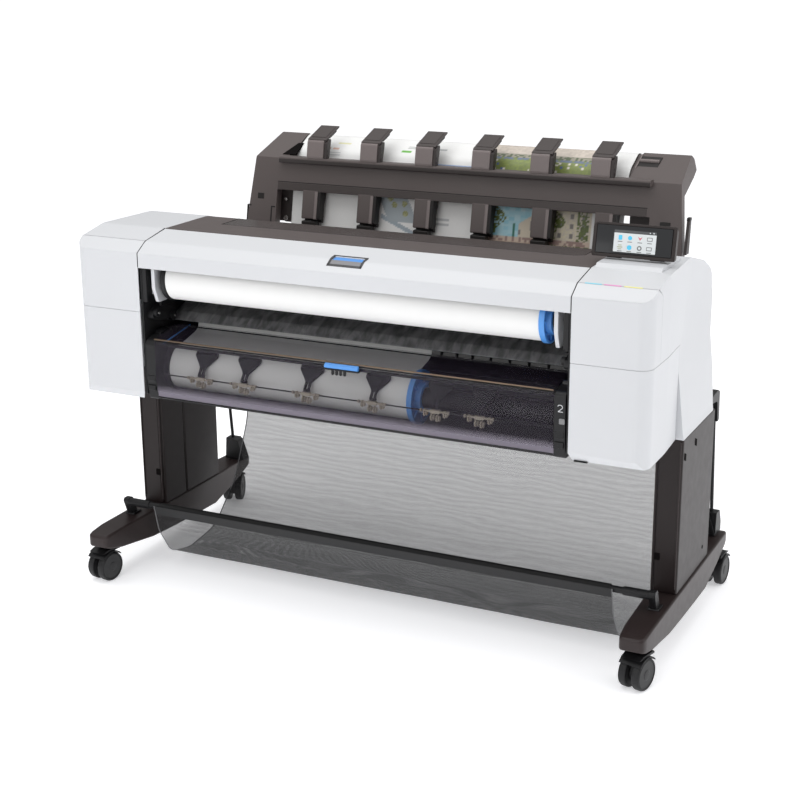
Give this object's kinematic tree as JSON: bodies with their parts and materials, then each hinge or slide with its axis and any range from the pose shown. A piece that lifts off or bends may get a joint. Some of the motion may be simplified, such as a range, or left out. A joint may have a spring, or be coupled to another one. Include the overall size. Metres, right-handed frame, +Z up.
{
  "type": "large format plotter",
  "caption": "Wide roll-fed ink plotter on a castered stand, with a stacker on top, a pull-out roll drawer and a mesh catch basket.",
  "frame": {"origin": "on the floor, under the middle of the machine", "axes": "+X to the machine's right as seen from the front, +Y to the back, +Z up"},
  "size_m": [1.4729, 0.7839, 1.079],
  "materials": {
    "white_panel": "smooth satin moulding, cool white",
    "brown_plastic": "fine-grained satin moulding, warm brown grey",
    "window_tint": "dark tinted satin window",
    "black_plastic": "satin black moulding",
    "leg_paint": "dark brown powder coat",
    "blue_plastic": "satin mid-blue moulding",
    "smoked_clear": "glossy smoked clear plastic",
    "paper_white": "matte coated paper",
    "steel": "plain rolled steel",
    "guide_grey": "mottled dark grey plate",
    "pinch_grey": "satin grey-brown moulding",
    "mesh_fabric": "fine woven mesh, see-through",
    "screen_glass": "black glass front",
    "caster_black": "moulded black tread"
  },
  "bodies": {
    "machine": {"left_upper_shell": "white_panel", "left_lower_cover": "white_panel", "left_side_liner": "black_plastic", "left_ink_cartridges": "black_plastic", "left_roll_bracket": "white_panel", "right_upper_shell": "white_panel", "right_lower_cover": "white_panel", "right_side_liner": "black_plastic", "right_ink_cartridges": "black_plastic", "right_roll_bracket": "white_panel", "power_inlet": "black_plastic", "chassis": "steel", "platen": "black_plastic", "carriage_rail": "steel", "rear_cover": "brown_plastic", "roll_guide": "guide_grey", "stacker_frame": "brown_plastic", "stacker_tray": "brown_plastic", "printed_sheet": "paper_white", "left_foot": "leg_paint", "left_leg": "leg_paint", "right_foot": "leg_paint", "right_leg": "leg_paint", "cross_brace": "leg_paint", "basket_rod": "black_plastic", "basket_rear_frame": "black_plastic", "catch_basket": "mesh_fabric"},
    "left_door": {"left_ink_door": "white_panel"},
    "right_door": {"right_ink_door": "white_panel"},
    "cover": {"roll_cover": "white_panel"},
    "latch": {"cover_latch": "blue_plastic"},
    "window": {"top_window": "window_tint"},
    "drawer": {"drawer_tray": "black_plastic", "drawer_cover": "smoked_clear", "drawer_handle": "blue_plastic", "pinch_bar": "pinch_grey"},
    "roll_1": {"roll_1_spindle": "black_plastic", "roll_1_paper": "paper_white", "roll_1_hub": "blue_plastic"},
    "roll_2": {"roll_2_spindle": "black_plastic", "roll_2_paper": "paper_white", "roll_2_hub": "blue_plastic"},
    "carriage": {"print_carriage": "pinch_grey"},
    "panel": {"control_panel": "brown_plastic", "touch_screen": "screen_glass"},
    "switch": {"power_switch": "black_plastic"},
    "finger_1": {"stacker_finger_1": "brown_plastic"},
    "finger_2": {"stacker_finger_2": "brown_plastic"},
    "finger_3": {"stacker_finger_3": "brown_plastic"},
    "finger_4": {"stacker_finger_4": "brown_plastic"},
    "finger_5": {"stacker_finger_5": "brown_plastic"},
    "finger_6": {"stacker_finger_6": "brown_plastic"},
    "front_left_swivel": {"front_left_caster_yoke": "black_plastic"},
    "front_left_wheels": {"front_left_caster_wheels": "caster_black"},
    "front_right_swivel": {"front_right_caster_yoke": "black_plastic"},
    "front_right_wheels": {"front_right_caster_wheels": "caster_black"},
    "rear_left_swivel": {"rear_left_caster_yoke": "black_plastic"},
    "rear_left_wheels": {"rear_left_caster_wheels": "caster_black"},
    "rear_right_swivel": {"rear_right_caster_yoke": "black_plastic"},
    "rear_right_wheels": {"rear_right_caster_wheels": "caster_black"}
  },
  "joints": [
    {"name": "left_door_hinge", "type": "hinge", "parent": "machine", "child": "left_door", "pos_m": [-0.614, -0.3775, 0.7188], "axis": [1, 0, 0], "range_deg": [0, 85]},
    {"name": "right_door_hinge", "type": "hinge", "parent": "machine", "child": "right_door", "pos_m": [0.614, -0.3775, 0.7188], "axis": [1, 0, 0], "range_deg": [0, 85]},
    {"name": "cover_hinge", "type": "hinge", "parent": "machine", "child": "cover", "pos_m": [0, -0.2595, 0.896], "axis": [-1, 0, 0], "range_deg": [0, 65]},
    {"name": "latch_hinge", "type": "hinge", "parent": "cover", "child": "latch", "pos_m": [0, -0.3265, 0.8825], "axis": [-1, 0, 0], "range_deg": [0, 20]},
    {"name": "window_hinge", "type": "hinge", "parent": "machine", "child": "window", "pos_m": [0.02, -0.0742, 0.8958], "axis": [-1, 0, 0], "range_deg": [0, 60]},
    {"name": "drawer_slide", "type": "slide", "parent": "machine", "child": "drawer", "axis": [0, -1, 0], "range_m": [0, 0.3]},
    {"name": "roll_1_spin", "type": "hinge", "parent": "machine", "child": "roll_1", "pos_m": [0, -0.313, 0.793], "axis": [1, 0, 0], "continuous": true},
    {"name": "roll_2_spin", "type": "hinge", "parent": "drawer", "child": "roll_2", "pos_m": [0, -0.288, 0.572], "axis": [1, 0, 0], "continuous": true},
    {"name": "carriage_slide", "type": "slide", "parent": "machine", "child": "carriage", "axis": [1, 0, 0], "range_m": [-0.44, 0.44]},
    {"name": "finger_1_hinge", "type": "hinge", "parent": "machine", "child": "finger_1", "pos_m": [-0.3875, 0.2355, 1.011], "axis": [1, 0, 0], "range_deg": [0, 60]},
    {"name": "finger_2_hinge", "type": "hinge", "parent": "machine", "child": "finger_2", "pos_m": [-0.2325, 0.2355, 1.011], "axis": [1, 0, 0], "range_deg": [0, 60]},
    {"name": "finger_3_hinge", "type": "hinge", "parent": "machine", "child": "finger_3", "pos_m": [-0.0775, 0.2355, 1.011], "axis": [1, 0, 0], "range_deg": [0, 60]},
    {"name": "finger_4_hinge", "type": "hinge", "parent": "machine", "child": "finger_4", "pos_m": [0.0775, 0.2355, 1.011], "axis": [1, 0, 0], "range_deg": [0, 60]},
    {"name": "finger_5_hinge", "type": "hinge", "parent": "machine", "child": "finger_5", "pos_m": [0.2325, 0.2355, 1.011], "axis": [1, 0, 0], "range_deg": [0, 60]},
    {"name": "finger_6_hinge", "type": "hinge", "parent": "machine", "child": "finger_6", "pos_m": [0.3875, 0.2355, 1.011], "axis": [1, 0, 0], "range_deg": [0, 60]},
    {"name": "panel_tilt", "type": "hinge", "parent": "machine", "child": "panel", "pos_m": [0.608, -0.192, 0.911], "axis": [-1, 0, 0], "range_deg": [-5, 50]},
    {"name": "power_switch_rocker", "type": "hinge", "parent": "machine", "child": "switch", "pos_m": [0.61, 0.142, 0.576], "axis": [1, 0, 0], "range_deg": [0, 8]},
    {"name": "front_left_caster_swivel", "type": "hinge", "parent": "machine", "child": "front_left_swivel", "pos_m": [-0.7, -0.334, 0.095], "axis": [0, 0, 1], "continuous": true},
    {"name": "front_left_wheel_spin", "type": "hinge", "parent": "front_left_swivel", "child": "front_left_wheels", "pos_m": [-0.70251, -0.35182, 0.03718], "axis": [0.9903, -0.1392, 0], "continuous": true},
    {"name": "front_right_caster_swivel", "type": "hinge", "parent": "machine", "child": "front_right_swivel", "pos_m": [0.7, -0.334, 0.095], "axis": [0, 0, 1], "continuous": true},
    {"name": "front_right_wheel_spin", "type": "hinge", "parent": "front_right_swivel", "child": "front_right_wheels", "pos_m": [0.69565, -0.35147, 0.03718], "axis": [0.9703, -0.2419, 0], "continuous": true},
    {"name": "rear_left_caster_swivel", "type": "hinge", "parent": "machine", "child": "rear_left_swivel", "pos_m": [-0.7, 0.258, 0.095], "axis": [0, 0, 1], "continuous": true},
    {"name": "rear_left_wheel_spin", "type": "hinge", "parent": "rear_left_swivel", "child": "rear_left_wheels", "pos_m": [-0.70616, 0.27491, 0.03718], "axis": [-0.9397, -0.342, 0], "continuous": true},
    {"name": "rear_right_caster_swivel", "type": "hinge", "parent": "machine", "child": "rear_right_swivel", "pos_m": [0.7, 0.258, 0.095], "axis": [0, 0, 1], "continuous": true},
    {"name": "rear_right_wheel_spin", "type": "hinge", "parent": "rear_right_swivel", "child": "rear_right_wheels", "pos_m": [0.70126, 0.27596, 0.03718], "axis": [-0.9976, 0.0698, 0], "continuous": true}
  ]
}
